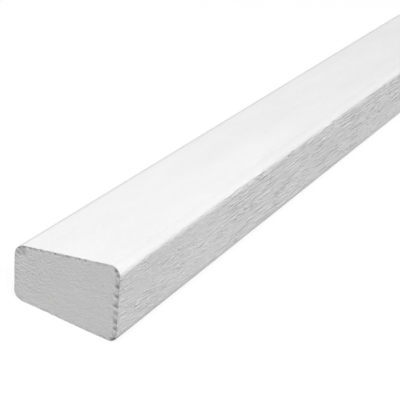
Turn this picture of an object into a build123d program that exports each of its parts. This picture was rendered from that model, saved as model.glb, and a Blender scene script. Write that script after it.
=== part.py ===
"""Glazing bead: one moulded length of hardwood, primed white, as it is sold before fitting.

The bead lies on its rebate face, the way it sits on the bottom rail of a window frame. Its tall side stands
against the pane, and its top falls away from the pane so that rain runs off. All its long edges are eased,
and both ends are sawn square.

Frame, in millimetres: X along the length, Y across the rebate with the pane on the -Y side, Z up.
The origin is at the middle of the length, at the middle of the rebate face.
"""

import os
from math import cos, radians, tan

from build123d import *

# Driving dimensions: lengths in millimetres, the fall of the top in degrees
STOCK_LENGTH = 2400.0
REBATE_WIDTH = 25.0
BEAD_HEIGHT = 17.0
TOP_FALL = 11.0

# Easing radius of each long edge, millimetres
GLASS_TOP_RADIUS = 2.0
OUTER_TOP_RADIUS = 3.0
GLASS_FOOT_RADIUS = 2.0
OUTER_FOOT_RADIUS = 2.0


def sharp_corners():
    """Each corner of the section before easing, in (Y, Z), with its radius, anticlockwise seen from the +X end.

    The bead height is measured over the eased edge, so the sharp corner above the pane side stands higher by
    what the easing takes off there.
    """
    glass_side = -REBATE_WIDTH / 2
    outer_side = REBATE_WIDTH / 2
    fall = radians(TOP_FALL)
    taken_off = GLASS_TOP_RADIUS * (tan(fall) + 1 / cos(fall) - 1)
    glass_top = BEAD_HEIGHT + taken_off
    outer_top = glass_top - REBATE_WIDTH * tan(fall)
    return [
        ((glass_side, 0.0), GLASS_FOOT_RADIUS),
        ((outer_side, 0.0), OUTER_FOOT_RADIUS),
        ((outer_side, outer_top), OUTER_TOP_RADIUS),
        ((glass_side, glass_top), GLASS_TOP_RADIUS),
    ]


def moulded_section():
    """The cutter's section: a flat foot, two upright sides and a falling top, with every corner eased."""
    corners = sharp_corners()
    with BuildSketch(Plane.YZ) as section:
        with BuildLine():
            Polyline(*[corner for corner, _ in corners], close=True)
        make_face()
        for corner, radius in corners:
            nearest = section.vertices().sort_by_distance(corner)[0]
            fillet(nearest, radius)
    return section.sketch


def glazing_bead():
    """The section run out to the stock length, half of it to each side of the origin."""
    bead = extrude(moulded_section(), amount=STOCK_LENGTH / 2, both=True)
    bead.label = "glazing_bead"
    return bead


os.makedirs("parts", exist_ok=True)
export_step(glazing_bead(), "parts/glazing_bead.step")
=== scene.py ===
"""Looks of the glazing bead: one moulded length of hardwood under a coat of white primer, with two sawn ends.

Everything is in metres, in the bead's own frame: X along the length, Y across the rebate with the pane on the
-Y side, Z up, and the origin at the middle of the rebate face. The skin of the bead is one closed sheet,
worked out on a grid of two parameters, and its relief is only ever cut inwards, so the bead keeps its outside
size.
"""

import logging
from collections.abc import Callable
from dataclasses import dataclass
from enum import Enum
from math import cos, pi, radians, sin, tan

import bpy
import numpy as np
from mathutils import Matrix, Vector


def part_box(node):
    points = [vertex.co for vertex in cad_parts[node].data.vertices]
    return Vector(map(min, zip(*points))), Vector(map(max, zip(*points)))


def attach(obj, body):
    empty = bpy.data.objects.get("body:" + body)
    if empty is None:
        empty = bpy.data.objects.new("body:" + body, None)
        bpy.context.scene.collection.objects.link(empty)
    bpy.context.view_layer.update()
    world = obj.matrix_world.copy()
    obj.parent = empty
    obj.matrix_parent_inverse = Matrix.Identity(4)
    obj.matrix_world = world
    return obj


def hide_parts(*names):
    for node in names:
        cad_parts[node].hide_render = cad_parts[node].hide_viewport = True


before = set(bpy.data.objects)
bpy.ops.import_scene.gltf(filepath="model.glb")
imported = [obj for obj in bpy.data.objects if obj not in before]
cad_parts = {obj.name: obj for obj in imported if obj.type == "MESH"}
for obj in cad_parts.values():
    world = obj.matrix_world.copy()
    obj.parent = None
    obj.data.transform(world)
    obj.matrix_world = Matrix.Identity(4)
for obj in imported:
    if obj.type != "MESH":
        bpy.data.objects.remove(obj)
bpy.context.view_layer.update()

CAD_NODE = "glazing_bead"
BODY = "root"
MM = 0.001
WHITE = (1.0, 1.0, 1.0, 1.0)
UPWARDS = Vector((0.0, 0.0, 1.0))
QUARTER_TURN = pi / 2

# A row of the skin whose lean is past this one is part of a sawn end.
END_LEAN = radians(40.0)

# Values that the skin's mesh holds at its points, for the finishes.
# Darkening at torn arrises: partly raw fibre, partly painted shade in the tear hollows and under the standing
# fibres.
TORN_AND_SHADED = "torn"
OPEN_GRAIN = "open_grain"
# Painted light and shade over the easings, held in the colour: a lighter band and foot, darker crowns.
PAINTED_EASING_LIGHT = "coat"
FIBRE_LENGTH = "fibre_length"

Cell = tuple[float, float, float]
Span = tuple[float, ...]
Socket = bpy.types.NodeSocket

log = logging.getLogger("glazing_bead")


def smooth_step(value: np.ndarray) -> np.ndarray:
    """Ease a value from 0 to 1: three times its square less twice its cube, held flat outside that range.

    Args:
        value: Any numbers; below 0 counts as 0 and above 1 as 1.

    Returns:
        The eased numbers, from 0 to 1.
    """
    held = np.clip(value, 0.0, 1.0)
    return held * held * (3.0 - 2.0 * held)


def ramp(value: np.ndarray, start: float, reach: float) -> np.ndarray:
    """Ease from 0 at the start to 1 a reach further on: the smooth step of the distance over the reach."""
    return smooth_step((value - start) / reach)


def between(low: float, high: float, share: np.ndarray) -> np.ndarray:
    """Go straight from low to high as the share goes from 0 to 1."""
    return low + (high - low) * share


def bell(value: np.ndarray, middle: np.ndarray | float, reach: np.ndarray | float) -> np.ndarray:
    """A bell curve: e to the power of minus the square of the distance from its middle over its reach."""
    return np.exp(-np.square((value - middle) / reach))


def in_turn(first: np.ndarray, second: np.ndarray) -> np.ndarray:
    """Rows of two arrays in turn, one of the first and then one of the second."""
    return np.stack([first, second], axis=1).reshape(-1, *first.shape[1:])


def with_x(place: np.ndarray | float, flat: np.ndarray) -> np.ndarray:
    """Put an X before the (Y, Z) of each point or direction."""
    return np.concatenate([np.broadcast_to(place, flat[..., :1].shape), flat], axis=-1)


def to_both_ends(near: np.ndarray, middle: np.ndarray, sign: float = 1.0) -> np.ndarray:
    """Values of the near end's rows, the rows between and the far end's, which are the near ones reversed."""
    return np.concatenate([near, middle, sign * near[::-1]])


def grey(level: float) -> tuple[float, float, float, float]:
    """A neutral colour of that level."""
    return (level, level, level, 1.0)


def stand(name: str, data: bpy.types.ID) -> bpy.types.Object:
    """Put new data into the scene as an object of that name.

    Args:
        name: The object's name.
        data: Its mesh, lamp or camera.

    Returns:
        The object, at the origin.
    """
    thing = bpy.data.objects.new(name, data)
    bpy.context.scene.collection.objects.link(thing)
    return thing


@dataclass(frozen=True)
class Unevenness:
    """Smooth random height through space, the same on every run.

    Space is cut into cells. Each cell corner has a height that its whole-number place and the seed decide,
    and between the corners of a cell the height is blended with the smooth step along each axis.
    """

    cell: Cell
    seed: int

    PLACE_FACTORS = (73856093, 19349663, 83492791)
    SEED_FACTOR = 2654435761
    STIR_FACTOR = 1274126177
    BITS = 32
    STIR_SHIFTS = (13, 16)

    def corner_height(self, places: np.ndarray) -> np.ndarray:
        """Scramble whole-number places into heights.

        Args:
            places: Cell corners as whole numbers, with X, Y and Z last.

        Returns:
            A height from 0 to 1 for each corner.
        """
        mask = (1 << self.BITS) - 1
        mixed = np.full(places.shape[:-1], (self.seed * self.SEED_FACTOR) & mask, dtype=np.int64)
        for axis, factor in enumerate(self.PLACE_FACTORS):
            mixed ^= (places[..., axis] * factor) & mask
        for shift in self.STIR_SHIFTS:
            mixed ^= mixed >> shift
            mixed = (mixed * self.STIR_FACTOR) & mask
        return mixed / float(mask)

    def at(self, points: np.ndarray) -> np.ndarray:
        """Height at each point: the smooth blend of the eight corners of the cell that it lies in.

        Args:
            points: Places in metres, with X, Y and Z last.

        Returns:
            Heights from 0 to 1, one for each point.
        """
        scaled = points / np.array(self.cell)
        corner = np.floor(scaled).astype(np.int64)
        blend = smooth_step(scaled - corner)
        height = np.zeros(points.shape[:-1])
        for step in np.ndindex(2, 2, 2):
            share = np.prod(np.where(np.array(step) == 1, blend, 1.0 - blend), axis=-1)
            height += share * self.corner_height(corner + np.array(step))
        return height


@dataclass(frozen=True)
class Section:
    """The cutter's section: a flat foot, two upright sides and a falling top, with every corner eased.

    A point of it is (Y, Z). Its outline is eight stretches of even curvature, an easing and then a straight
    in turn, walked anticlockwise as seen from the +X end, from the start of the easing between glass side and
    foot.
    """

    width: float
    height: float
    fall: float = radians(11.0)
    glass_foot_radius: float = 2.0 * MM
    outer_foot_radius: float = 2.0 * MM
    outer_top_radius: float = 3.0 * MM
    glass_top_radius: float = 2.0 * MM

    def radii(self) -> np.ndarray:
        """Easing radii in the order of the corners."""
        foot = (self.glass_foot_radius, self.outer_foot_radius)
        return np.array((*foot, self.outer_top_radius, self.glass_top_radius))

    def corners(self) -> np.ndarray:
        """Sharp corners before easing, anticlockwise from the foot of the glass side.

        The height is measured over the eased edge, so the sharp corner above the glass side stands higher by
        what its easing takes off.

        Returns:
            Four rows of (Y, Z).
        """
        half = self.width / 2
        taken_off = self.glass_top_radius * (tan(self.fall) + 1 / cos(self.fall) - 1)
        glass_top = self.height + taken_off
        outer_top = glass_top - self.width * tan(self.fall)
        return np.array([(-half, 0.0), (half, 0.0), (half, outer_top), (-half, glass_top)])

    def stretches(self) -> tuple[np.ndarray, np.ndarray, np.ndarray, np.ndarray]:
        """The outline as easings and straights in turn.

        At a corner that turns by an angle, an easing takes its radius times the tangent of half the angle off
        each side, and is as long as its radius times the angle.

        Returns:
            Start points, start headings in radians, curvatures and lengths, eight of each.
        """
        corners = self.corners()
        radii = self.radii()
        sides = np.roll(corners, -1, axis=0) - corners
        spans = np.linalg.norm(sides, axis=1)
        along = sides / spans[:, None]
        headings = np.arctan2(sides[:, 1], sides[:, 0])
        before = np.roll(headings, 1)
        turns = (headings - before) % (2 * pi)
        taken = radii * np.tan(turns / 2)
        pairs = (
            (corners - taken[:, None] * np.roll(along, 1, axis=0), corners + taken[:, None] * along),
            (before, headings),
            (1.0 / radii, np.zeros_like(radii)),
            (radii * turns, spans - taken - np.roll(taken, -1)),
        )
        return tuple(in_turn(easing, straight) for easing, straight in pairs)

    def walk(self, distance: np.ndarray) -> tuple[np.ndarray, np.ndarray]:
        """Points and outward directions at given distances along the outline.

        On a stretch of even curvature, the point a distance u along lies at the chord, u times sin(h)/h, in
        the direction of the start heading plus h, where h is half of what the heading has turned by.

        Args:
            distance: Distances along the outline in metres; a full turn and more counts on round.

        Returns:
            The points and the outward unit directions, as (Y, Z) last.
        """
        starts, headings, curvatures, lengths = self.stretches()
        ends = np.cumsum(lengths)
        wrapped = distance % ends[-1]
        index = np.minimum(np.searchsorted(ends, wrapped, side="right"), len(lengths) - 1)
        along = wrapped - (ends - lengths)[index]
        half_turn = curvatures[index] * along / 2
        chord = along * np.sinc(half_turn / pi)
        middle = headings[index] + half_turn
        points = starts[index] + chord[..., None] * np.stack([np.cos(middle), np.sin(middle)], axis=-1)
        heading = middle + half_turn
        return points, np.stack([np.sin(heading), -np.cos(heading)], axis=-1)

    def easing_middles(self) -> np.ndarray:
        """Distances along the outline of the middles of the four easings."""
        lengths = self.stretches()[3]
        return (np.cumsum(lengths) - lengths / 2)[0::2]

    def perimeter(self) -> float:
        """Length of the whole outline."""
        return float(self.stretches()[3].sum())

    def stations(self, across: int, up: int) -> np.ndarray:
        """Distances of the grid's columns, evenly spread from the middle of each easing to the next.

        Args:
            across: Number of columns along the foot, and again along the top.
            up: Number of columns up the outer side, and again down the glass side.

        Returns:
            Distances along the outline, rising, the last one short of a full turn.
        """
        marks = np.append(self.easing_middles(), self.easing_middles()[0] + self.perimeter())
        runs = zip(marks[:-1], marks[1:], (across, up, across, up))
        return np.concatenate([np.linspace(start, end, count, endpoint=False) for start, end, count in runs])

    def glass_side_distance(self, height: float) -> float:
        """Distance along the outline of the place at that height on the glass side."""
        return self.perimeter() - (height - self.glass_foot_radius)


@dataclass(frozen=True)
class Tear:
    """A place on the arris of a sawn end where the saw pulled fibres out.

    The hollow is a bell curve along the outline, times a bell curve across the arris that reaches further
    over the sawn face than along the planed one.
    """

    place: float
    half_width: float
    depth: float
    over_end: float
    along_side: float = 0.25 * MM
    set_in: float = 0.35 * MM


@dataclass(frozen=True)
class TornArris:
    """All the tears of one sawn end: those that are listed, and small ones scattered by a seed.

    The sizes of a scattered tear are drawn evenly from the spans, its reach over the end and its reach along
    the side from the same one.
    """

    placed: tuple[Tear, ...]
    scattered: int
    seed: int
    half_widths: Span = (0.18 * MM, 0.36 * MM)
    depths: Span = (0.02 * MM, 0.09 * MM)
    reaches: Span = (0.18 * MM, 0.40 * MM)
    set_ins: Span = (0.15 * MM, 0.6 * MM)

    def tears(self, perimeter: float) -> list[Tear]:
        """The placed tears and the scattered ones together.

        Args:
            perimeter: Length of the outline that the small tears are scattered along.

        Returns:
            All tears of this end.
        """
        draw = np.random.default_rng(self.seed)
        places = draw.uniform(0.0, perimeter, self.scattered)
        spans = (self.half_widths, self.depths, self.reaches, self.reaches, self.set_ins)
        sizes = [draw.uniform(low, high, self.scattered) for low, high in spans]
        return list(self.placed) + [Tear(*numbers) for numbers in zip(places, *sizes)]

    def hollow(self, points: np.ndarray, back: np.ndarray, section: Section) -> np.ndarray:
        """Depth that the tears take off the skin.

        Each tear is centred on the sawn end, its set-in away from the outline. Its depth is the product of
        three bell curves: of a point's offset in the outline's direction there, of its offset inwards, and of
        its distance back along the planed side.

        Args:
            points: Places in metres, with X, Y and Z last.
            back: Distance of each point back from this end.
            section: The section whose outline the tears lie on.

        Returns:
            Depth in metres, of the deepest tear at each point.
        """
        depth = np.zeros(back.shape)
        for tear in self.tears(section.perimeter()):
            place, outward = section.walk(np.array(tear.place))
            offset = points[..., 1:] - (place - tear.set_in * outward)
            along = offset[..., 1] * outward[0] - offset[..., 0] * outward[1]
            inwards = -offset @ outward
            reach = np.where(inwards > 0, tear.over_end, tear.along_side + tear.set_in)
            shape = bell(along, 0.0, tear.half_width) * bell(inwards, 0.0, reach)
            shape *= bell(back, 0.0, tear.along_side)
            depth = np.maximum(depth, tear.depth * shape)
        return depth


@dataclass(frozen=True)
class FrayedRim:
    """The soft, darker band just inside the arris of a sawn end, where short fibres stand up all round; its
    colour is partly raw fibre and partly painted shade under the standing fibres.

    Across the arris the band is a bell curve about its set-in, wider over the sawn face than along the planed
    one. It is strongest on the glass side and over the outer top easing, weaker on top and faint on the other
    two sides, and where it is fainter, its set-in and its reach are smaller too. Darker dots lie in it where
    a smooth random height is high.
    """

    seed: int
    top_share: float = 0.6
    corner_share: float = 1.0
    least_share: float = 0.25
    set_in: float = 0.56 * MM
    least_set_in: float = 0.3
    over_end: float = 0.85 * MM
    along_side: float = 0.90 * MM
    least_reach: float = 0.35
    depth: float = 0.04 * MM
    # Darkening of the band: raw fibre and painted shade under the standing fibres.
    rim_fibre_and_shade: Span = (0.02, 0.42)
    # Darkening of the tears, deeper ones darker: painted shade in the hollows with raw fibre colour.
    tear_fibre_and_shade: float = 0.85
    full_darkening_depth: float = 0.14 * MM
    cell: Cell = (0.55 * MM, 0.55 * MM, 0.55 * MM)
    dot_ramp: Span = (0.36, 0.26)

    def exposure(self, outward: np.ndarray) -> np.ndarray:
        """How badly the arris is frayed where the outline faces a given way.

        Over the outer top easing it is the smooth step of the sine of twice the angle between the outward
        direction and straight up.

        Args:
            outward: Outward unit directions of the outline, as (Y, Z) last.

        Returns:
            A share from the least one to 1.
        """
        glass = smooth_step(-outward[..., 0])
        top = self.top_share * smooth_step(outward[..., 1])
        corner = self.corner_share * smooth_step(2 * outward[..., 0] * outward[..., 1])
        return np.maximum(np.maximum(glass, top), np.maximum(corner, self.least_share))

    def fray(
        self, points: np.ndarray, outward: np.ndarray, inwards: np.ndarray, hollow: np.ndarray
    ) -> tuple[np.ndarray, np.ndarray]:
        """Depth of the frayed band, and how much darker it and the tears in it are: partly raw fibre, partly
        painted shade.

        Args:
            points: Places on the smooth skin.
            outward: Outward direction of the outline at each point.
            inwards: Distance of each point from the arris, positive over the sawn end.
            hollow: Depth of the tears at each point.

        Returns:
            The depth in metres, and the darkened share from 0 to 1.
        """
        share = self.exposure(outward)
        uneven = Unevenness(self.cell, self.seed).at(points)
        set_in = self.set_in * between(self.least_set_in, 1.0, share)
        reach = np.where(inwards > set_in, self.over_end, self.along_side)
        reach = reach * between(self.least_reach, 1.0, share)
        band = share * bell(inwards, set_in, reach)
        # The band's darkening, with darker dots: raw fibre and painted shade.
        rim_fibre_and_shade = band * between(*self.rim_fibre_and_shade, ramp(uneven, *self.dot_ramp))
        # Painted shade in the tear hollows, darker the deeper they are, with raw fibre colour.
        torn = self.tear_fibre_and_shade * ramp(hollow, 0.0, self.full_darkening_depth)
        return self.depth * uneven * band, np.clip(np.maximum(rim_fibre_and_shade, torn), 0.0, 1.0)


@dataclass(frozen=True)
class SawnFace:
    """Relief of a sawn end under primer: short streaks left by the teeth, open pores and woolly patches.

    The depth is a sum of smooth random heights: one stretched along the growth rings, one fine and even, and
    one broad. The first two are deeper in woolly patches and near the woolly corner.
    """

    seed: int
    woolly_corner: tuple[float, float]
    ring_slope: float = radians(-20.0)
    streak_cell: Cell = (2.0 * MM, 1.8 * MM, 0.55 * MM)
    fuzz_cell: Cell = (0.6 * MM, 0.7 * MM, 0.4 * MM)
    patch_cell: Cell = (4.0 * MM, 5.0 * MM, 3.5 * MM)
    streak_depth: float = 0.025 * MM
    fuzz_depth: float = 0.03 * MM
    patch_depth: float = 0.03 * MM
    even_wool: float = 0.3
    patch_wool: float = 0.4
    corner_wool: float = 0.7
    woolly_reach: float = 9.0 * MM

    def woolliness(self, points: np.ndarray) -> np.ndarray:
        """How far the fibres stand up: an even share, a patchy one, and a bell curve about the woolly corner.

        Args:
            points: Places in metres, with X, Y and Z last.

        Returns:
            A share, about 0.3 where the saw cut cleanly and more than 1 where it did not.
        """
        patches = Unevenness(self.patch_cell, self.seed + 2).at(points)
        from_corner = np.linalg.norm(points[..., 1:] - np.array(self.woolly_corner), axis=-1)
        corner = self.corner_wool * bell(from_corner, 0.0, self.woolly_reach)
        return self.even_wool + self.patch_wool * patches + corner

    def depth(self, points: np.ndarray) -> np.ndarray:
        """Depth of the sawn relief at each point of an end.

        Args:
            points: Places in metres, with X, Y and Z last.

        Returns:
            Depth in metres, never below 0.
        """
        along = points[..., 1] * cos(self.ring_slope) + points[..., 2] * sin(self.ring_slope)
        across = points[..., 2] * cos(self.ring_slope) - points[..., 1] * sin(self.ring_slope)
        turned = np.stack([points[..., 0], along, across], axis=-1)
        streaks = Unevenness(self.streak_cell, self.seed).at(turned)
        fuzz = Unevenness(self.fuzz_cell, self.seed + 1).at(turned)
        patches = Unevenness(self.patch_cell, self.seed + 3).at(turned)
        relief = self.streak_depth * streaks + self.fuzz_depth * fuzz
        return self.woolliness(points) * relief + self.patch_depth * patches


@dataclass(frozen=True)
class RaisedGrain:
    """Relief of the planed faces under primer: soft wood between harder lines stands a few hundredths lower.

    Long narrow cells of smooth random height run with the grain, and a second set is shorter. Each gives the
    smooth step of what its height has above a level.
    """

    seed: int
    line_cell: Cell = (45.0 * MM, 1.6 * MM, 1.3 * MM)
    dash_cell: Cell = (9.0 * MM, 1.1 * MM, 1.0 * MM)
    line_depth: float = 0.02 * MM
    dash_depth: float = 0.04 * MM
    level: float = 0.3

    def depth(self, points: np.ndarray) -> np.ndarray:
        """Depth of the raised grain at each point of a planed face.

        Args:
            points: Places in metres, with X, Y and Z last.

        Returns:
            Depth in metres, never below 0.
        """
        lines = smooth_step(Unevenness(self.line_cell, self.seed).at(points) - self.level)
        dashes = smooth_step(Unevenness(self.dash_cell, self.seed + 1).at(points) - self.level)
        return self.line_depth * lines + self.dash_depth * dashes


@dataclass(frozen=True)
class OpenGrain:
    """How far the grain of a planed face is open and how long its fibres are, which sets how rough it looks.

    The open share is the calm one and a rise, which is a product of smooth steps: from near the flat sides
    outwards, away from the top easings, up from the foot, and along the length away from the nearer end. The
    outer side has less of it. The fibres grow as a smooth step of the distance from the nearer end.
    """

    calm: float = 0.2
    outer_share: float = 0.7
    foot_share: float = 0.4
    opening: Span = (0.80, 1.36)
    side_ramp: Span = (-0.8 * MM, 0.7 * MM)
    easing_ramp: Span = (0.2 * MM, 0.8 * MM)
    foot_ramp: Span = (1.0 * MM, 1.2 * MM)
    length_ramp: Span = (5.0 * MM, 50.0 * MM)
    fibre_ramp: Span = (10.0 * MM, 38.0 * MM)

    def share(self, points: np.ndarray, from_end: np.ndarray, section: Section) -> np.ndarray:
        """The open share of each point of a planed face.

        Args:
            points: Places in metres, one in each row.
            from_end: Distance of each point from the nearer end.
            section: The bead's section.

        Returns:
            The calm share on the top and the foot, and up to about 1.3 on the sides.
        """
        side = ramp(np.abs(points[:, 1]) - section.width / 2, *self.side_ramp)
        easing_foot = section.height - section.glass_top_radius
        side = side * (1 - ramp(points[:, 2] - easing_foot, *self.easing_ramp))
        side = side * between(self.foot_share, 1.0, ramp(points[:, 2], *self.foot_ramp))
        facing = np.where(points[:, 1] < 0, 1.0, self.outer_share)
        opening = between(*self.opening, ramp(from_end, *self.length_ramp))
        return between(self.calm, 1.0, side * facing * opening)

    def fibre_length(self, from_end: np.ndarray) -> np.ndarray:
        """Share of the full fibre length, from 0 by the ends to 1 further on."""
        return ramp(from_end, *self.fibre_ramp)


class Mixed(Enum):
    """What a mix node blends: its name there, the numbers of its share and two inputs, and its output's."""

    VALUE = ("FLOAT", (0, 2, 3), 0)
    COLOUR = ("RGBA", (0, 6, 7), 2)


class Wiring:
    """Adds the nodes of one material, or of the light from all round, and joins them."""

    NOISE_ROUGHNESS = 0.55
    MIDDLE_LEVEL = 0.5

    def __init__(self, owner: bpy.types.Material | bpy.types.World) -> None:
        """Give the owner an empty node tree.

        Args:
            owner: The material or world to add nodes to.
        """
        owner.use_nodes = True
        owner.node_tree.nodes.clear()
        self.owner = owner

    def add(self, kind: str, inputs: dict[str | int, object], **settings: object) -> bpy.types.Node:
        """Add one node.

        Args:
            kind: The node's type name.
            inputs: A value or another node's socket for each named or numbered input.
            settings: The node's own settings.

        Returns:
            The new node.
        """
        node = self.owner.node_tree.nodes.new(kind)
        for name, value in settings.items():
            setattr(node, name, value)
        for name, value in inputs.items():
            if isinstance(value, Socket):
                self.owner.node_tree.links.new(value, node.inputs[name])
            else:
                node.inputs[name].default_value = value
        return node

    def stretched_place(self, cell: Cell, turn: float = 0.0) -> Socket:
        """Object coordinates counted in cells of the given size, turned about the length first.

        Args:
            cell: Size of a cell along X, Y and Z, in metres.
            turn: Angle in radians by which the pattern is turned about X.

        Returns:
            The vector socket.
        """
        place = self.add("ShaderNodeTexCoord", {}).outputs["Object"]
        turned = self.add("ShaderNodeMapping", {"Vector": place, "Rotation": (turn, 0.0, 0.0)})
        scale = tuple(1.0 / size for size in cell)
        scaled = self.add("ShaderNodeMapping", {"Vector": turned.outputs["Vector"], "Scale": scale})
        return scaled.outputs["Vector"]

    def noise(self, cell: Cell, detail: float, turn: float = 0.0) -> Socket:
        """Smooth random value in stretched cells.

        Args:
            cell: Size of a cell along X, Y and Z, in metres.
            detail: Octaves of the noise.
            turn: Angle in radians by which the pattern is turned about X.

        Returns:
            The socket.
        """
        inputs = {"Scale": 1.0, "Detail": detail, "Roughness": self.NOISE_ROUGHNESS}
        inputs["Vector"] = self.stretched_place(cell, turn)
        return self.add("ShaderNodeTexNoise", inputs).outputs["Fac"]

    def dashes(self, cell: Cell, core: float, edge: float) -> Socket:
        """Short dashes scattered at random, one in each stretched cell.

        Args:
            cell: Size of a cell along X, Y and Z, in metres.
            core: Distance from a dash's middle, counted in cells, up to which it is full.
            edge: Distance from a dash's middle, counted in cells, at which it has faded out.

        Returns:
            The socket, 1 on a dash and 0 between them.
        """
        inputs = {"Vector": self.stretched_place(cell), "Scale": 1.0, "Randomness": 1.0}
        cells = self.add("ShaderNodeTexVoronoi", inputs, feature="F1")
        return self.span(cells.outputs["Distance"], core, edge, 1.0, 0.0)

    def span(
        self, value: Socket, low: float, high: float, to_low: float = 0.0, to_high: float = 1.0
    ) -> Socket:
        """A value moved from one range to another and held inside it, as a socket."""
        inputs = {"Value": value, "From Min": low, "From Max": high, "To Min": to_low, "To Max": to_high}
        return self.add("ShaderNodeMapRange", inputs, clamp=True).outputs["Result"]

    def arithmetic(self, operation: str, first: object, second: object) -> Socket:
        """One arithmetic step between two values, as a socket."""
        return self.add("ShaderNodeMath", {0: first, 1: second}, operation=operation).outputs["Value"]

    def times(self, first: object, second: object) -> Socket:
        """One value times another, as a socket."""
        return self.arithmetic("MULTIPLY", first, second)

    def plus(self, first: object, second: object) -> Socket:
        """One value and another together, as a socket."""
        return self.arithmetic("ADD", first, second)

    def swing(self, value: Socket, share: Socket) -> Socket:
        """A noise's swing about its middle level, times a share, as a socket."""
        return self.times(self.arithmetic("SUBTRACT", value, self.MIDDLE_LEVEL), share)

    def mix(self, kind: Mixed, share: Socket, plain: object, other: object) -> Socket:
        """Go from plain to other as the share goes from 0 to 1.

        Args:
            kind: Whether values or colours are blended.
            share: The share.
            plain: What a share of 0 gives.
            other: What a share of 1 gives.

        Returns:
            The socket.
        """
        name, numbers, result = kind.value
        inputs = dict(zip(numbers, (share, plain, other)))
        return self.add("ShaderNodeMix", inputs, data_type=name).outputs[result]

    def shader_mix(self, share: object, plain: bpy.types.Node, other: bpy.types.Node) -> bpy.types.Node:
        """A shader that goes from plain to other as the share goes from 0 to 1."""
        return self.add("ShaderNodeMixShader", {0: share, 1: plain.outputs[0], 2: other.outputs[0]})

    def relief(self, height: Socket, depth: float, below: Socket | None = None) -> Socket:
        """Fine relief on the shading normal.

        Args:
            height: Height from 0 to 1.
            depth: What a height of 1 stands for, in metres.
            below: Normal of the relief that this one lies on, if any.

        Returns:
            The normal socket.
        """
        inputs = {"Height": height, "Distance": depth, "Strength": 1.0}
        if below is not None:
            inputs["Normal"] = below
        return self.add("ShaderNodeBump", inputs).outputs["Normal"]

    def attribute(self, name: str) -> Socket:
        """A value stored on the mesh's points, as a socket."""
        return self.add("ShaderNodeAttribute", {}, attribute_name=name).outputs["Fac"]

    def surface(self, **inputs: object) -> bpy.types.Material:
        """Close the material with its shader.

        Args:
            inputs: Values and sockets of the shader, with underscores for the spaces in their names.

        Returns:
            The finished material.
        """
        named = {name.replace("_", " "): value for name, value in inputs.items()}
        shader = self.add("ShaderNodeBsdfPrincipled", named)
        self.add("ShaderNodeOutputMaterial", {"Surface": shader.outputs["BSDF"]})
        return self.owner


@dataclass(frozen=True)
class PaintedEasingLight:
    """Painted light and shade over the easings: the colour is darker on the upper crowns and lighter lower
    down.

    It holds painted shade on both upper crowns, a painted highlight band low on the glass top easing and
    painted light over the glass side's foot easing. Each part is a share times a bell curve about a tilt,
    which is the angle from straight up of the outline's outward direction, positive towards the glass side; a
    field for a bell holds its middle and its reach. Over the flat top the colour is plain: both crowns set in
    as the smooth step of the turn away from the top's tilt. The painted light over the glass side's foot
    easing starts a little way from each end and grows as a smooth step of distance.
    """

    top_tilt: float = radians(-11.0)
    set_in_turn: float = radians(12.0)
    glass_crown_shade: Span = (radians(16.0), radians(30.0))
    glass_highlight: Span = (radians(68.0), radians(18.0))
    foot_light: Span = (radians(108.0), radians(17.0))
    outer_crown_shade: Span = (radians(30.0), radians(16.0))
    crown_shade_share: float = 1.2
    highlight_share: float = 1.45
    outer_share: float = 1.2
    foot_share: float = 2.0
    foot_ramp: Span = (12.0 * MM, 26.0 * MM)

    def thickness(self, outward: np.ndarray, from_end: np.ndarray) -> np.ndarray:
        """Painted light and shade of the colour at each point over the easings.

        Args:
            outward: Outward unit directions of the outline, as (Y, Z) last.
            from_end: Distance of each point from the nearer end.

        Returns:
            A share, below 0 where shade is painted, 0 where the colour is plain and above 0 where light is
            painted.
        """
        tilt = np.arctan2(-outward[..., 0], outward[..., 1])
        highlight = self.highlight_share * bell(tilt, *self.glass_highlight)
        foot = bell(tilt, *self.foot_light) * self.foot_share * ramp(from_end, *self.foot_ramp)
        off_top = ramp(np.abs(tilt - self.top_tilt), 0.0, self.set_in_turn)
        crown = self.crown_shade_share * bell(tilt, *self.glass_crown_shade)
        outer = self.outer_share * bell(-tilt, *self.outer_crown_shade)
        return highlight + foot - off_top * (crown + outer)


@dataclass(frozen=True)
class FibrePattern:
    """A random pattern along the grain: short cells by each end, where fibres broke, and long ones beyond.

    A field gives a cell's length by an end, its length further on, or its width both ways across the grain.
    """

    short: float
    long: float
    width: float

    def blend(self, wiring: Wiring, pattern: Callable[[Cell], Socket]) -> Socket:
        """The pattern in both cell lengths, blended by the fibre-length value of the mesh.

        Args:
            wiring: The material's wiring.
            pattern: Makes the pattern's socket for a given cell.

        Returns:
            The socket.
        """
        broken, whole = (pattern((length, self.width, self.width)) for length in (self.short, self.long))
        return wiring.mix(Mixed.VALUE, wiring.attribute(FIBRE_LENGTH), broken, whole)

    def noise(self, wiring: Wiring, detail: float) -> Socket:
        """Smooth noise along the grain, of that many octaves, as a socket."""
        return self.blend(wiring, lambda cell: wiring.noise(cell, detail))

    def dashes(self, wiring: Wiring, fade: Span) -> Socket:
        """Scattered dashes along the grain, from their core to their edge, as a socket."""
        return self.blend(wiring, lambda cell: wiring.dashes(cell, *fade))


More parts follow.
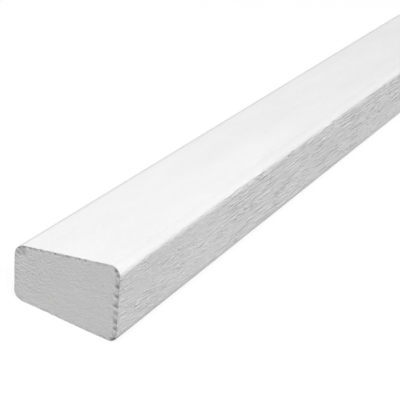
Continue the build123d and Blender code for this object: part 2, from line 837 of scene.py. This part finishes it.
@dataclass(frozen=True)
class PlanedPrimer:
    """White primer over planed hardwood: satin, with open pores and raised grain that show through the coat.

    A field for a span holds the range that a value is read over and, where it has four numbers, the range
    that it is moved to.
    """

    name: str = "primer_on_planed_face"
    white: float = 0.878
    thin_white: float = 0.832
    whitest: float = 1.0
    pore_white: float = 0.81
    # Grey of torn arrises: raw fibre and painted shade together.
    torn_and_shaded_grey: float = 0.3
    roughness: float = 0.6
    roughness_swing: float = 0.06
    specular: float = 0.3
    # Share of the painted light and shade over the easings in the colour.
    easing_light_share: float = 0.07
    fibre_share: float = 0.38
    bead_share: float = 0.17
    soaked_share: float = 0.022
    rough_span: Span = (0.2, 1.5, 0.12, 1.55)
    pore_cell: Cell = (4.0 * MM, 0.62 * MM, 0.62 * MM)
    pore_fade: Span = (0.08, 0.28)
    bead: FibrePattern = FibrePattern(short=2.6 * MM, long=6.5 * MM, width=0.80 * MM)
    bead_fade: Span = (0.08, 0.34)
    fibre: FibrePattern = FibrePattern(short=1.3 * MM, long=4.0 * MM, width=0.28 * MM)
    fibre_detail: float = 1.5
    grain: FibrePattern = FibrePattern(short=4.0 * MM, long=14.0 * MM, width=0.65 * MM)
    grain_detail: float = 2.0
    fleck: FibrePattern = FibrePattern(short=0.7 * MM, long=1.7 * MM, width=0.4 * MM)
    fleck_detail: float = 1.0
    group_cell: Cell = (11.0 * MM, 3.0 * MM, 3.0 * MM)
    group_span: Span = (0.42, 0.60, 0.6, 1.7)
    torn_cell: Cell = (6.0 * MM, 2.4 * MM, 2.4 * MM)
    torn_span: Span = (0.56, 0.66)
    patch_detail: float = 1.0
    fine_cell: Cell = (0.5 * MM, 0.25 * MM, 0.25 * MM)
    fine_detail: float = 2.0
    broad_cell: Cell = (30.0 * MM, 9.0 * MM, 9.0 * MM)
    broad_detail: float = 2.0
    broad_span: Span = (0.3, 0.7)
    pore_depth: float = 0.06 * MM
    fibre_depth: float = 0.19 * MM
    raised_depth: float = 0.14 * MM
    grain_depth: float = 0.14 * MM
    fleck_depth: float = 0.42 * MM
    fine_depth: float = 0.02 * MM

    def material(self) -> bpy.types.Material:
        """Build the finish.

        Pores and beads of primer are the near parts of long narrow random cells. Fibres, grain and flecks are
        stretched noise about its middle level: the first two are grouped, and flecks lie in torn patches. All
        of them grow with the open-grain value of the mesh. The coat is whiter on raised fibres and beads, and
        duller in pores and where open grain soaked it up. The colour also holds painted light and shade over
        the easings, and the darkening of torn arrises, which is partly raw fibre and partly painted shade.

        Returns:
            The material.
        """
        wiring = Wiring(bpy.data.materials.new(self.name))
        open_grain = wiring.attribute(OPEN_GRAIN)
        rough_share = wiring.span(open_grain, *self.rough_span)
        pore = wiring.times(wiring.dashes(self.pore_cell, *self.pore_fade), open_grain)
        raised = wiring.times(self.bead.dashes(wiring, self.bead_fade), rough_share)
        group = wiring.noise(self.group_cell, self.patch_detail)
        grouped = wiring.times(rough_share, wiring.span(group, *self.group_span))
        fibre = wiring.swing(self.fibre.noise(wiring, self.fibre_detail), grouped)
        grain = wiring.swing(self.grain.noise(wiring, self.grain_detail), grouped)
        torn_patch = wiring.span(wiring.noise(self.torn_cell, self.patch_detail), *self.torn_span)
        torn_patch = wiring.times(torn_patch, rough_share)
        fleck = wiring.swing(self.fleck.noise(wiring, self.fleck_detail), torn_patch)
        fine = wiring.noise(self.fine_cell, self.fine_detail)
        broad = wiring.noise(self.broad_cell, self.broad_detail)
        base = wiring.span(broad, *self.broad_span, self.thin_white, self.white)
        parts = (
            # Painted light and shade over the easings.
            (wiring.attribute(PAINTED_EASING_LIGHT), self.easing_light_share),
            (wiring.plus(fibre, fleck), self.fibre_share),
            (raised, self.bead_share),
            (open_grain, -self.soaked_share),
        )
        for value, share in parts:
            base = wiring.plus(base, wiring.times(value, share))
        base = wiring.arithmetic("MINIMUM", base, self.whitest)
        with_pores = wiring.mix(Mixed.COLOUR, pore, base, grey(self.pore_white))
        # Torn arrises darker: partly raw fibre, partly painted shade.
        with_tears = wiring.mix(Mixed.COLOUR, wiring.attribute(TORN_AND_SHADED), with_pores, grey(self.torn_and_shaded_grey))
        layers = (
            (fine, self.fine_depth),
            (fleck, self.fleck_depth),
            (raised, self.raised_depth),
            (fibre, self.fibre_depth),
            (grain, self.grain_depth),
            (wiring.arithmetic("SUBTRACT", 1.0, pore), self.pore_depth),
        )
        normal = None
        for height, depth in layers:
            normal = wiring.relief(height, depth, normal)
        satin = (self.roughness - self.roughness_swing, self.roughness + self.roughness_swing)
        roughness = wiring.span(broad, *self.broad_span, *satin)
        return wiring.surface(
            Base_Color=with_tears, Roughness=roughness, Normal=normal, Specular_IOR_Level=self.specular
        )


@dataclass(frozen=True)
class SawnPrimer:
    """White primer soaked into sawn end grain: dull and woolly, with streaks along the growth rings."""

    name: str = "primer_on_sawn_end"
    white: float = 0.87
    thin_white: float = 0.82
    # Grey of torn arrises: raw fibre and painted shade together.
    torn_and_shaded_grey: float = 0.3
    roughness: float = 0.8
    specular: float = 0.2
    ring_slope: float = radians(-20.0)
    streak_cell: Cell = (1.0 * MM, 1.8 * MM, 0.34 * MM)
    streak_detail: float = 3.0
    streak_span: Span = (0.35, 0.7, 1.0, 0.0)
    streak_depth: float = 0.045 * MM
    wool_cell: Cell = (0.5 * MM, 0.62 * MM, 0.44 * MM)
    wool_detail: float = 2.0
    wool_depth: float = 0.15 * MM
    patch_cell: Cell = (3.0 * MM, 4.0 * MM, 3.0 * MM)
    patch_detail: float = 2.0
    patch_span: Span = (0.3, 0.7)

    def material(self) -> bpy.types.Material:
        """Build the finish from streaks along the rings, wool and broad patches.

        The coat is thinnest where a low streak meets a broad patch, and the wool grows with the open-grain
        value.

        Returns:
            The material.
        """
        wiring = Wiring(bpy.data.materials.new(self.name))
        streaks = wiring.noise(self.streak_cell, self.streak_detail, -self.ring_slope)
        wool = wiring.noise(self.wool_cell, self.wool_detail, -self.ring_slope)
        wool = wiring.swing(wool, wiring.attribute(OPEN_GRAIN))
        patches = wiring.noise(self.patch_cell, self.patch_detail)
        thin = wiring.times(wiring.span(streaks, *self.streak_span), wiring.span(patches, *self.patch_span))
        base = wiring.mix(Mixed.COLOUR, thin, grey(self.white), grey(self.thin_white))
        # Torn arrises darker: partly raw fibre, partly painted shade.
        with_tears = wiring.mix(Mixed.COLOUR, wiring.attribute(TORN_AND_SHADED), base, grey(self.torn_and_shaded_grey))
        normal = wiring.relief(streaks, self.streak_depth, wiring.relief(wool, self.wool_depth))
        return wiring.surface(
            Base_Color=with_tears, Roughness=self.roughness, Normal=normal, Specular_IOR_Level=self.specular
        )


class End(Enum):
    """The two sawn ends, with the direction along X that each one faces."""

    NEAR = -1
    FAR = 1


@dataclass(frozen=True)
class RowPlan:
    """The rows of the skin's grid, from the middle of the near end along the length to that of the far end.

    Each row is the section's outline, drawn in by an inset, carried towards the core of the end by a share,
    and stood at a place along the length. Its lean turns the inward direction from across the bead at 0 to
    along the bead at a quarter turn.
    """

    place: np.ndarray
    inset: np.ndarray
    toward_core: np.ndarray
    lean: np.ndarray
    facing: np.ndarray


@dataclass(frozen=True)
class PrimedBead:
    """The glazing bead itself: a closed skin on a grid, with relief, tears, and the two finishes.

    The first finish is for its planed faces and the second one for its sawn ends. A row of the skin has as
    many columns across the top as across the foot, and as many down the glass side as up the outer one.
    """

    section: Section
    length: float
    torn_near: TornArris
    torn_far: TornArris = TornArris(placed=(), scattered=60, seed=9)
    # Painted light and shade over the easings, held in the colour.
    run: PaintedEasingLight = PaintedEasingLight()
    rim: FrayedRim = FrayedRim(seed=71)
    sawn: SawnFace = SawnFace(seed=31, woolly_corner=(12.0 * MM, 12.0 * MM))
    grain: RaisedGrain = RaisedGrain(seed=47)
    open_grain: OpenGrain = OpenGrain()
    finishes: tuple[PlanedPrimer, SawnPrimer] = (PlanedPrimer(), SawnPrimer())
    arris: float = 0.06 * MM
    core_inset: float = 2.6 * MM
    across: int = 96
    up: int = 66
    ring_rows: int = 12
    arris_rows: int = 3
    ring_crowding: float = 1.25
    fine_stretch: float = 13.0 * MM
    easing_calm: float = 8.0

    ROW_MARKS = (0.0, 3.0 * MM, 12.0 * MM, 30.0 * MM, 215.0 * MM, 240.0 * MM)
    ROW_GAPS = (0.18 * MM, 0.32 * MM, 1.4 * MM, 2.2 * MM, 2.6 * MM, 9.0 * MM)
    FAR_ROW_MARKS = (0.0, 3.0 * MM, 12.0 * MM, 40.0 * MM)
    FAR_ROW_GAPS = (0.18 * MM, 0.32 * MM, 1.4 * MM, 9.0 * MM)
    GAP_SAMPLES = 48001

    def length_rows(self) -> np.ndarray:
        """Places of the rows between the two arrises.

        The gap between rows widens away from the sawn ends. The number of rows passed is the running sum of
        distance over gap, and each whole number of it, spread evenly to fit, is one row.

        Returns:
            Rising places along X.
        """
        marks = np.concatenate([self.ROW_MARKS, self.length - np.array(self.FAR_ROW_MARKS)[::-1]])
        gaps = np.concatenate([self.ROW_GAPS, np.array(self.FAR_ROW_GAPS)[::-1]])
        samples = np.linspace(self.arris, self.length - self.arris, self.GAP_SAMPLES)
        density = 1.0 / np.interp(samples, marks, gaps)
        steps = np.diff(samples) * (density[1:] + density[:-1]) / 2
        passed = np.concatenate([[0.0], np.cumsum(steps)])
        rows = np.linspace(0.0, passed[-1], int(round(passed[-1])) + 1)
        return np.interp(rows, passed, samples) - self.length / 2

    def plan(self) -> RowPlan:
        """Lay out all rows: sawn face, arris, length, arris, sawn face.

        An arris is a quarter circle: at an angle, its row lies back from the end by the radius times one less
        the angle's sine, and is drawn in by the radius times one less its cosine.

        Returns:
            The rows.
        """
        none = np.zeros_like
        ring = np.linspace(1.0, 0.0, self.ring_rows, endpoint=False) ** self.ring_crowding
        angle = np.linspace(QUARTER_TURN, 0.0, self.arris_rows, endpoint=False)
        middle = self.length_rows()
        back = np.concatenate([none(ring), self.arris * (1 - np.sin(angle))])
        inset = np.concatenate([none(ring) + self.arris, self.arris * (1 - np.cos(angle))])
        toward_core = np.concatenate([ring, none(angle)])
        lean = np.concatenate([none(ring) + QUARTER_TURN, angle])
        return RowPlan(
            place=to_both_ends(back - self.length / 2, middle, -1.0),
            inset=to_both_ends(inset, none(middle)),
            toward_core=to_both_ends(toward_core, none(middle)),
            lean=to_both_ends(lean, none(middle)),
            facing=to_both_ends(none(back) + End.NEAR.value, np.sign(middle), -1.0),
        )

    def core_corners(self) -> np.ndarray:
        """Corners of the flat four-sided core of an end: the easing middles drawn in by the core inset."""
        points, outward = self.section.walk(self.section.easing_middles())
        return points - self.core_inset * outward

    def core_outline(self) -> np.ndarray:
        """Points round the core, evenly spread along each of its sides.

        Returns:
            One point for each column of the skin.
        """
        corners = self.core_corners()
        sides = zip(corners, np.roll(corners, -1, axis=0), (self.across, self.up) * 2)
        return np.concatenate([np.linspace(start, end, count, endpoint=False) for start, end, count in sides])

    def relief(
        self, points: np.ndarray, outward: np.ndarray, lean: np.ndarray, inwards: np.ndarray, end: np.ndarray
    ) -> tuple[np.ndarray, np.ndarray]:
        """Depth that is cut into the skin, and how much of it is torn.

        The sawn relief and the raised grain are blended by the lean of the row, and the tears come on top.
        The raised grain fades on the easings, by a high power of the larger part of the outward direction.

        Args:
            points: Places on the smooth skin.
            outward: Outward direction of the outline at each column.
            lean: Lean of each row, a quarter turn on the sawn ends.
            inwards: Distance of each point from the arris, positive over the sawn end.
            end: Direction along X of the end that is nearer to each row.

        Returns:
            The depth in metres, and the torn share from 0 to 1.
        """
        on_end = smooth_step(lean / QUARTER_TURN)
        settled = smooth_step(1.0 - on_end)
        flat = np.max(np.abs(outward), axis=-1) ** self.easing_calm
        depth = on_end * self.sawn.depth(points) + settled * flat * self.grain.depth(points)
        back = np.maximum(-inwards, 0.0)
        near = self.torn_near.hollow(points, back, self.section)
        far = self.torn_far.hollow(points, back, self.section)
        hollow = np.where(end < 0, near, far)
        fray, torn = self.rim.fray(points, outward, inwards, hollow)
        return depth + hollow + fray, torn

    def skin(self) -> tuple[np.ndarray, np.ndarray, np.ndarray, RowPlan]:
        """The skin's grid of points, from the rim of one core, along the bead, to the rim of the other.

        A point is its column's outline point, drawn in and carried to the core as its row says, less the
        relief along the inward direction of its row.

        Returns:
            The points by row and column, the torn share and the painted light and shade of the easings at
            each, and the row plan.
        """
        plan = self.plan()
        stations = self.section.stations(self.across, self.up)
        outline, outward = (part[None] for part in self.section.walk(stations))
        lean, end = plan.lean[:, None], plan.facing[:, None]
        share = plan.toward_core[:, None, None]
        drawn_in = outline - plan.inset[:, None, None] * outward
        flat = drawn_in * (1 - share) + self.core_outline()[None] * share
        smooth = with_x(plan.place[:, None, None], flat)
        over_end = np.linalg.norm(flat - outline, axis=-1)
        back = (self.length / 2 - np.abs(plan.place))[:, None]
        inwards = np.where(lean > END_LEAN, over_end, -back)
        depth, torn = self.relief(smooth, outward, lean, inwards, end)
        inward = with_x((-end * np.sin(lean))[..., None], -np.cos(lean)[..., None] * outward)
        # Painted light and shade over the easings; none on the sawn ends.
        coat = self.run.thickness(outward, back) * (lean < END_LEAN)
        return smooth + depth[..., None] * inward, torn, coat, plan

    def core_grid(self, end: End, rim: np.ndarray, first: int) -> tuple[np.ndarray, np.ndarray]:
        """Points inside one core and the index grid that joins them to the skin.

        A core point is the blend of the core's four corners by its two shares, across and up, with the sawn
        relief.

        Args:
            end: Which end it is.
            rim: Indices of the skin's points round the core, one for each column.
            first: Index that the first of the new points gets.

        Returns:
            The new points, and the grid of indices with the rim round it.
        """
        glass_foot, outer_foot, outer_top, glass_top = self.core_corners()
        across = np.linspace(0.0, 1.0, self.across + 1)[None, :, None]
        up = np.linspace(0.0, 1.0, self.up + 1)[:, None, None]
        foot = between(glass_foot, outer_foot, across)
        flat = between(foot, between(glass_top, outer_top, across), up)
        points = with_x(end.value * self.length / 2, flat)
        points[..., 0] -= end.value * self.sawn.depth(points)
        inner = points[1:-1, 1:-1]
        grid = np.zeros((self.up + 1, self.across + 1), dtype=np.int64)
        grid[1:-1, 1:-1] = first + np.arange(inner[..., 0].size).reshape(inner.shape[:2])
        sides = np.split(rim, np.cumsum([self.across, self.up, self.across]))
        grid[0, :-1], grid[:-1, -1], grid[-1, :0:-1], grid[:0:-1, 0] = sides
        return inner.reshape(-1, 3), grid

    def narrow(self, fine: np.ndarray, wide: np.ndarray) -> np.ndarray:
        """Join a row with every column to one with every second: each wide cell is three triangles.

        Args:
            fine: Indices of the row with every column.
            wide: Indices of the row with every second column; the others aren't read.

        Returns:
            Three point numbers for each triangle, outward if the fine row is nearer to the near end.
        """
        fine_first, fine_middle, wide_first = fine[0::2], fine[1::2], wide[0::2]
        fine_last, wide_last = np.roll(fine_first, -1), np.roll(wide_first, -1)
        three = (
            (fine_first, fine_middle, wide_first),
            (fine_middle, wide_last, wide_first),
            (fine_middle, fine_last, wide_last),
        )
        return np.concatenate([np.stack(corners, axis=-1) for corners in three])

    def mesh(self) -> bpy.types.Mesh:
        """Join the skin and the two cores into one closed mesh with outward faces.

        Rows near the ends keep every column and rows along the length keep every second one. A face is sawn
        where the mean lean of its two rows is past that of an end.

        Returns:
            The mesh, with its finishes' face numbers and its point values.
        """
        points, torn, coat, plan = self.skin()
        wide = self.length / 2 - np.abs(plan.place) > self.fine_stretch
        kept = np.ones(torn.shape, dtype=bool)
        kept[wide, 1::2] = False
        index = np.full(torn.shape, -1, dtype=np.int64)
        index[kept] = np.arange(kept.sum())
        vertices = points[kept]
        steep = (plan.lean[:-1] + plan.lean[1:]) / 2 > END_LEAN
        quads, sawn_faces = [], []
        for chosen, step in ((~wide[:-1] & ~wide[1:], 1), (wide[:-1] & wide[1:], 2)):
            first = index[:-1][chosen][:, ::step]
            second = index[1:][chosen][:, ::step]
            cell = np.stack([first, np.roll(first, -1, 1), np.roll(second, -1, 1), second], axis=-1)
            quads.append(cell.reshape(-1, 4))
            sawn_faces.append(np.repeat(steep[chosen], first.shape[1]))
        triangles = []
        for row in np.flatnonzero(wide[:-1] != wide[1:]):
            if wide[row + 1]:
                triangles.append(self.narrow(index[row], index[row + 1]))
            else:
                triangles.append(self.narrow(index[row + 1], index[row])[:, ::-1])
        for end, rim in ((End.NEAR, index[0]), (End.FAR, index[-1])):
            inner, grid = self.core_grid(end, rim, len(vertices))
            cell = np.stack([grid[:-1, :-1], grid[:-1, 1:], grid[1:, 1:], grid[1:, :-1]], axis=-1)
            cell = cell.reshape(-1, 4)
            quads.append(cell[:, ::-1] if end is End.NEAR else cell)
            sawn_faces.append(np.ones(len(cell), dtype=bool))
            vertices = np.concatenate([vertices, inner])
        triangles = np.concatenate(triangles)
        sawn = np.concatenate(sawn_faces + [np.zeros(len(triangles), dtype=bool)])
        mesh = self.filled_mesh(vertices, np.concatenate(quads), triangles, sawn)
        on_cores = (0, len(vertices) - np.count_nonzero(kept))
        # The torn share darkens the colour, partly as painted shade; the other value is painted light and
        # shade over the easings.
        values = {TORN_AND_SHADED: np.pad(torn[kept], on_cores), PAINTED_EASING_LIGHT: np.pad(coat[kept], on_cores)}
        for name, numbers in (values | self.grain_values(vertices)).items():
            mesh.attributes.new(name, "FLOAT", "POINT").data.foreach_set("value", numbers.astype(np.float32))
        mesh.validate()
        return mesh

    def grain_values(self, vertices: np.ndarray) -> dict[str, np.ndarray]:
        """How far the grain is open and how long its fibres are; on sawn ends the first is the woolliness.

        Args:
            vertices: Points in metres.

        Returns:
            The two values of each point, by name.
        """
        from_end = self.length / 2 - np.abs(vertices[:, 0])
        on_end = np.abs(vertices[:, 0]) > self.length / 2 - self.arris
        planed = self.open_grain.share(vertices, from_end, self.section)
        return {
            OPEN_GRAIN: np.where(on_end, self.sawn.woolliness(vertices), planed),
            FIBRE_LENGTH: self.open_grain.fibre_length(from_end),
        }

    def filled_mesh(
        self, vertices: np.ndarray, quads: np.ndarray, triangles: np.ndarray, sawn: np.ndarray
    ) -> bpy.types.Mesh:
        """Put whole arrays into a new mesh.

        Args:
            vertices: Points in metres.
            quads: Four point numbers for each four-sided face.
            triangles: Three point numbers for each three-sided face.
            sawn: True for each face of a sawn end, quads first.

        Returns:
            The mesh.
        """
        mesh = bpy.data.meshes.new("primed_bead")
        corners = np.concatenate([quads.ravel(), triangles.ravel()])
        sides = np.repeat([quads.shape[1], triangles.shape[1]], [len(quads), len(triangles)])
        mesh.vertices.add(len(vertices))
        mesh.vertices.foreach_set("co", vertices.astype(np.float32).ravel())
        mesh.loops.add(len(corners))
        mesh.loops.foreach_set("vertex_index", corners.astype(np.int32))
        mesh.polygons.add(len(sides))
        mesh.polygons.foreach_set("loop_start", (np.cumsum(sides) - sides).astype(np.int32))
        mesh.polygons.foreach_set("material_index", sawn.astype(np.int32))
        mesh.polygons.foreach_set("use_smooth", np.ones(len(sides), dtype=bool))
        mesh.update(calc_edges=True)
        return mesh

    def build(self) -> bpy.types.Object:
        """Make the piece, dress it in its two finishes and stand it in for the plain solid.

        Returns:
            The finished piece.
        """
        piece = stand("primed_bead", self.mesh())
        for finish in self.finishes:
            piece.data.materials.append(finish.material())
        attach(piece, BODY)
        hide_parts(CAD_NODE)
        return piece


@dataclass(frozen=True)
class Lamp:
    """What both kinds of lamp have: a name, the direction towards the lamp, and the level that it gives.

    A level of 1 makes a white face square to the lamp come out white.
    """

    name: str
    toward: tuple[float, float, float]
    level: float

    def hang(self, data: bpy.types.Light, place: Vector) -> bpy.types.Object:
        """Put the lamp into the scene, turned to shine against its direction.

        Args:
            data: The lamp's light.
            place: Where it hangs.

        Returns:
            The lamp.
        """
        lamp = stand(self.name, data)
        lamp.location = place
        lamp.rotation_mode = "QUATERNION"
        lamp.rotation_quaternion = Vector(self.toward).to_track_quat("Z", "Y")
        return lamp


@dataclass(frozen=True)
class SoftLight(Lamp):
    """A broad lamp far off: even light from one direction, with soft shadows."""

    spread: float = radians(24.0)

    def place(self) -> bpy.types.Object:
        """Add the lamp; its power is its level times pi.

        Returns:
            The lamp.
        """
        data = bpy.data.lights.new(self.name, "SUN")
        data.energy = self.level * pi
        data.angle = self.spread
        return self.hang(data, Vector())


@dataclass(frozen=True)
class NearbyLight(Lamp):
    """A small square lamp close to the bead, which lights one stretch a little more than the rest."""

    target: Vector
    reach: float
    size: float

    def place(self) -> bpy.types.Object:
        """Add the lamp, its reach away from the target.

        Its power is its level times the square of pi times its reach.

        Returns:
            The lamp.
        """
        data = bpy.data.lights.new(self.name, "AREA")
        data.shape = "SQUARE"
        data.size = self.size
        data.energy = self.level * (pi * self.reach) ** 2
        lamp = self.hang(data, self.target + Vector(self.toward).normalized() * self.reach)
        lamp.visible_camera = False
        return lamp


@dataclass(frozen=True)
class Surroundings:
    """Plain pale floor and plain soft light from all round, both seen as white."""

    floor_size: float = 12.0
    floor_gap: float = 0.02 * MM
    floor_tone: float = 0.3
    sky_level: float = 0.25
    seen_level: float = 1.0
    shadow_share: float = 0.12

    def seen(self, wiring: Wiring) -> Socket:
        """A socket that is 1 for what the camera sees, by itself, in gloss or through glass.

        Args:
            wiring: The wiring that it goes into.

        Returns:
            The socket.
        """
        rays = wiring.add("ShaderNodeLightPath", {}).outputs
        seen = rays["Is Camera Ray"]
        for name in ("Is Glossy Ray", "Is Transmission Ray"):
            seen = wiring.arithmetic("MAXIMUM", seen, rays[name])
        return seen

    def sky(self) -> bpy.types.World:
        """Soft light from all round, which shows as plain white.

        Returns:
            The world.
        """
        world = bpy.data.worlds.new("soft_white")
        bpy.context.scene.world = world
        wiring = Wiring(world)
        light = wiring.add("ShaderNodeBackground", {"Color": WHITE, "Strength": self.sky_level})
        shown = wiring.add("ShaderNodeBackground", {"Color": WHITE, "Strength": self.seen_level})
        mixed = wiring.shader_mix(self.seen(wiring), light, shown)
        wiring.add("ShaderNodeOutputWorld", {"Surface": mixed.outputs["Shader"]})
        return world

    def floor_material(self) -> bpy.types.Material:
        """White where the camera sees it, with a light shadow, and pale grey for the light it throws back.

        Returns:
            The material.
        """
        wiring = Wiring(bpy.data.materials.new("pale_floor"))
        pale = wiring.add("ShaderNodeBsdfDiffuse", {"Color": grey(self.floor_tone)})
        shaded = wiring.add("ShaderNodeBsdfDiffuse", {"Color": WHITE})
        white = wiring.add("ShaderNodeEmission", {"Color": WHITE, "Strength": self.seen_level})
        shown = wiring.shader_mix(self.shadow_share, white, shaded)
        mixed = wiring.shader_mix(self.seen(wiring), pale, shown)
        wiring.add("ShaderNodeOutputMaterial", {"Surface": mixed.outputs["Shader"]})
        return wiring.owner

    def floor(self) -> bpy.types.Object:
        """A flat square floor just under the bead's foot.

        Returns:
            The floor.
        """
        half = self.floor_size / 2
        outline = ((-half, -half), (half, -half), (half, half), (-half, half))
        corners = [(x, y, -self.floor_gap) for x, y in outline]
        mesh = bpy.data.meshes.new("floor")
        mesh.from_pydata(corners, [], [range(len(corners))])
        mesh.materials.append(self.floor_material())
        floor = stand("floor", mesh)
        return floor


@dataclass(frozen=True)
class Viewpoint:
    """The photograph's viewing angle, as an eye that looks at the foot of the near end.

    The azimuth turns round from looking along +Y, the elevation is above the floor, and the roll tilts the
    picture. The foot's middle at the near end shows at a given pixel of the frame, at a given depth in front
    of the eye.
    """

    azimuth: float = radians(-61.00)
    elevation: float = radians(28.51)
    roll: float = radians(5.81)
    foot_column: float = 63.56
    foot_row: float = 320.53
    depth: float = 204.65 * MM
    focal_pixels: float = 1053.6
    frame_pixels: float = 400.0
    sensor: float = 36.0
    clip: Span = (0.01, 50.0)

    def place(self, near_foot: Vector) -> bpy.types.Object:
        """Add the camera.

        The eye stands back from the foot's middle by its depth along the view, and to the side and down by
        the pixel offsets from the frame's middle times depth over focal length.

        Args:
            near_foot: The middle of the foot at the near end.

        Returns:
            The camera.
        """
        turn, rise = self.azimuth, self.elevation
        back = Vector((sin(turn) * cos(rise), -cos(turn) * cos(rise), sin(rise)))
        level_right = (-back).cross(UPWARDS).normalized()
        level_up = level_right.cross(-back)
        right = level_right * cos(self.roll) + level_up * sin(self.roll)
        up = level_up * cos(self.roll) - level_right * sin(self.roll)
        per_pixel = self.depth / self.focal_pixels
        across = (self.foot_column - self.frame_pixels / 2) * per_pixel
        above = (self.frame_pixels / 2 - self.foot_row) * per_pixel
        eye = near_foot - right * across - up * above + back * self.depth
        data = bpy.data.cameras.new("viewpoint")
        data.sensor_width = self.sensor
        data.lens = self.focal_pixels / self.frame_pixels * self.sensor
        data.clip_start, data.clip_end = self.clip
        camera = stand("viewpoint", data)
        axes = Matrix((right, up, back)).transposed()
        camera.matrix_world = Matrix.Translation(eye) @ axes.to_4x4()
        bpy.context.scene.camera = camera
        return camera


def near_end_tears(section: Section) -> tuple[Tear, ...]:
    """The larger tears on the arris of the near end, with each row in millimetres.

    On the glass side a row starts with the height above the foot, and from the outer crown along the top with
    the distance from the middle of the outer top easing. Half width, depth, reach over the end and set-in
    follow.

    Args:
        section: The section whose outline they lie on.

    Returns:
        The tears.
    """
    glass_side = (
        (16.6, 0.42, 0.14, 0.44, 0.66),
        (15.2, 0.40, 0.12, 0.44, 0.58),
        (12.7, 0.44, 0.15, 0.48, 0.62),
        (10.6, 0.42, 0.13, 0.46, 0.60),
        (8.4, 0.40, 0.13, 0.60, 0.74),
        (6.5, 0.36, 0.06, 0.40, 0.60),
        (4.8, 0.38, 0.13, 0.42, 0.62),
        (3.3, 0.38, 0.13, 0.42, 0.62),
        (1.5, 0.42, 0.09, 0.50, 0.66),
        (0.3, 0.85, 0.28, 0.34, 0.18),
    )
    outer_and_top = (
        (-2.2, 0.34, 0.07, 0.50, 0.40),
        (-1.0, 0.50, 0.09, 0.80, 0.90),
        (0.3, 0.40, 0.11, 0.50, 0.40),
        (0.9, 0.60, 0.08, 0.90, 1.50),
        (1.8, 0.44, 0.12, 0.42, 0.40),
        (3.4, 0.34, 0.11, 0.36, 0.38),
        (4.5, 0.30, 0.09, 0.34, 0.34),
        (6.1, 0.30, 0.10, 0.34, 0.36),
        (7.6, 0.26, 0.06, 0.30, 0.34),
        (9.6, 0.34, 0.11, 0.34, 0.36),
        (11.0, 0.24, 0.05, 0.30, 0.36),
        (12.6, 0.34, 0.11, 0.36, 0.38),
        (15.4, 0.30, 0.10, 0.34, 0.36),
        (16.9, 0.30, 0.10, 0.34, 0.38),
        (19.6, 0.26, 0.07, 0.34, 0.36),
    )
    crown = section.easing_middles()[2]
    places = [section.glass_side_distance(row[0] * MM) for row in glass_side]
    places += [crown + row[0] * MM for row in outer_and_top]
    return tuple(
        Tear(place, width * MM, depth * MM, reach * MM, set_in=inside * MM)
        for place, (_, width, depth, reach, inside) in zip(places, glass_side + outer_and_top)
    )


def main() -> None:
    """Build the bead, the floor, the light and the camera."""
    low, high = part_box(CAD_NODE)
    section = Section(width=high.y - low.y, height=high.z - low.z)
    torn_near = TornArris(placed=near_end_tears(section), scattered=46, seed=5)
    bead = PrimedBead(section=section, length=high.x - low.x, torn_near=torn_near).build()
    log.info("bead: %d points, %d faces", len(bead.data.vertices), len(bead.data.polygons))
    surroundings = Surroundings()
    log.info("light from all round: %s", surroundings.sky().name)
    log.info("floor: %s", surroundings.floor().name)
    near_foot = Vector((low.x, 0.0, 0.0))
    far_foot = Vector((high.x, 0.0, 0.0))
    lamps = (
        SoftLight("overhead", toward=(-0.32, -0.17, 0.94), level=0.32),
        SoftLight("front", toward=(-0.36, -0.60, 0.72), level=0.48),
        SoftLight("outer", toward=(0.10, 0.97, 0.20), level=0.11),
        NearbyLight("near_end", toward=(-0.10, 0.0, 1.0), level=0.205, target=near_foot, reach=0.2, size=0.1),
        NearbyLight("far_end", toward=(0.9, 0.2, 0.4), level=0.3, target=far_foot, reach=0.3, size=0.15),
    )
    for lamp in lamps:
        log.info("lamp: %s", lamp.place().name)
    log.info("camera: %s", Viewpoint().place(near_foot).name)
    bpy.context.scene.view_settings.view_transform = "Standard"


if __name__ == "__main__":
    logging.basicConfig(level=logging.INFO, format="%(name)s: %(message)s")
    main()
